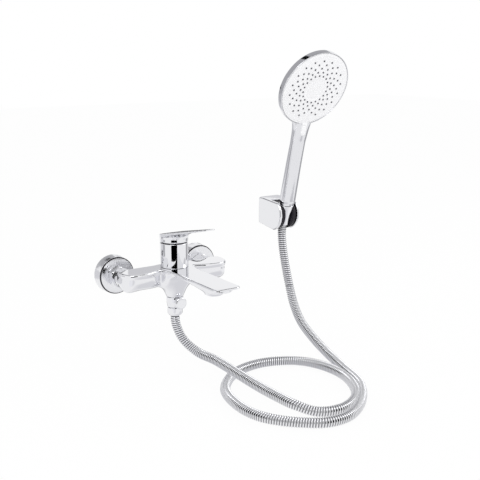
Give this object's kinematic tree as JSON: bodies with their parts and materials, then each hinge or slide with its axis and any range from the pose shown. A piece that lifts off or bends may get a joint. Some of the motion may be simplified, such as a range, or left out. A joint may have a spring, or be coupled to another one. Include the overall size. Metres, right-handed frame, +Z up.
{
  "type": "wall mounted bath faucet",
  "caption": "Chrome single-lever wall bath mixer with flat spout, diverter, corrugated shower hose and a hand shower in a tilting wall holder",
  "frame": {"origin": "on the wall surface, midway between the two inlet axes", "axes": "+X to the right along the wall, +Y into the wall, +Z up; the front of the mixer faces -Y"},
  "size_m": [0.3967, 0.4132, 0.495],
  "materials": {
    "chrome": "bright chrome plated",
    "brass": "turned brass",
    "steel": "stainless steel",
    "ceramic": "lapped ceramic",
    "chromed_plastic": "bright chrome plated plastic",
    "white_plastic": "white gloss",
    "grey_plastic": "grey",
    "black_plastic": "black gloss",
    "rubber": "black rubber",
    "hose_metal": "bright corrugated steel"
  },
  "bodies": {
    "fixed": {"s_union_left": "brass", "s_union_right": "brass", "rosette_left": "chrome", "rosette_right": "chrome", "union_nut_left": "chrome", "union_nut_right": "chrome", "filter_washer_left": "rubber", "filter_washer_right": "rubber", "inlet_nipple_left": "brass", "inlet_nipple_right": "brass", "mixer_body": "chrome", "aerator_housing": "chrome", "aerator_insert": "grey_plastic", "aerator_seal": "rubber", "cartridge_body": "grey_plastic", "ceramic_disc_fixed": "ceramic", "cartridge_nut": "brass", "dome_sleeve": "chrome", "diverter_collar": "chrome", "diverter_seal": "rubber", "check_valve": "grey_plastic", "hose_nut": "chrome", "hose_washer_lower": "rubber", "hose_ferrule_lower": "steel", "hose_main": "hose_metal", "holder_shell": "chrome", "holder_plate": "steel", "wall_screw_upper": "steel", "wall_screw_lower": "steel", "holder_washer_left": "rubber", "holder_washer_right": "rubber"},
    "turning_guide": {"cartridge_guide": "grey_plastic", "stem_pin": "steel"},
    "handle": {"cartridge_stem": "steel", "lever": "chrome", "lever_screw": "steel", "lever_plug": "grey_plastic"},
    "mixing_disc": {"ceramic_disc_moving": "ceramic"},
    "diverter": {"diverter_spindle": "brass", "diverter_knob": "chrome"},
    "fork": {"holder_drum": "black_plastic"},
    "hose_tail": {"hose_ferrule_upper": "steel", "hose_upper": "hose_metal"},
    "hand_shower": {"hose_cone_nut": "chrome", "hose_washer_upper": "rubber", "shower_shell": "chromed_plastic", "shower_face": "white_plastic", "spray_membrane": "grey_plastic", "spray_chamber": "white_plastic", "water_tube": "white_plastic", "flow_limiter": "grey_plastic"},
    "button": {"spray_button": "white_plastic"}
  },
  "joints": [
    {"name": "lever_turn", "type": "hinge", "parent": "fixed", "child": "turning_guide", "pos_m": [0, -0.069, 0.038], "axis": [0, 0, 1], "range_deg": [-50, 50]},
    {"name": "lever_lift", "type": "hinge", "parent": "turning_guide", "child": "handle", "pos_m": [0, -0.069, 0.038], "axis": [-1, 0, 0], "range_deg": [0, 20]},
    {"name": "disc_slide", "type": "slide", "parent": "turning_guide", "child": "mixing_disc", "axis": [0, -1, 0], "range_m": [0, 0.0063]},
    {"name": "diverter_pull", "type": "slide", "parent": "fixed", "child": "diverter", "axis": [0, -1, 0], "range_m": [0, 0.006], "stiffness_N_per_m": 300, "springref_m": -0.002},
    {"name": "holder_tilt", "type": "hinge", "parent": "fixed", "child": "fork", "pos_m": [0.228, -0.037, 0.071], "axis": [1, 0, 0], "range_deg": [-15, 20]},
    {"name": "shower_lift", "type": "slide", "parent": "fork", "child": "hose_tail", "axis": [0, -0.2588, 0.9659], "range_m": [0, 0.04]},
    {"name": "shower_turn", "type": "hinge", "parent": "hose_tail", "child": "hand_shower", "pos_m": [0.228, -0.05452, 0.08846], "axis": [0, -0.2588, 0.9659], "continuous": true},
    {"name": "spray_button_press", "type": "slide", "parent": "hand_shower", "child": "button", "axis": [0, 0.9659, 0.2588], "range_m": [0, 0.003], "stiffness_N_per_m": 400, "springref_m": -0.002}
  ],
  "couplings": [
    {"joint": "disc_slide", "follows": "lever_lift", "m_per_rad": 0.0179}
  ]
}
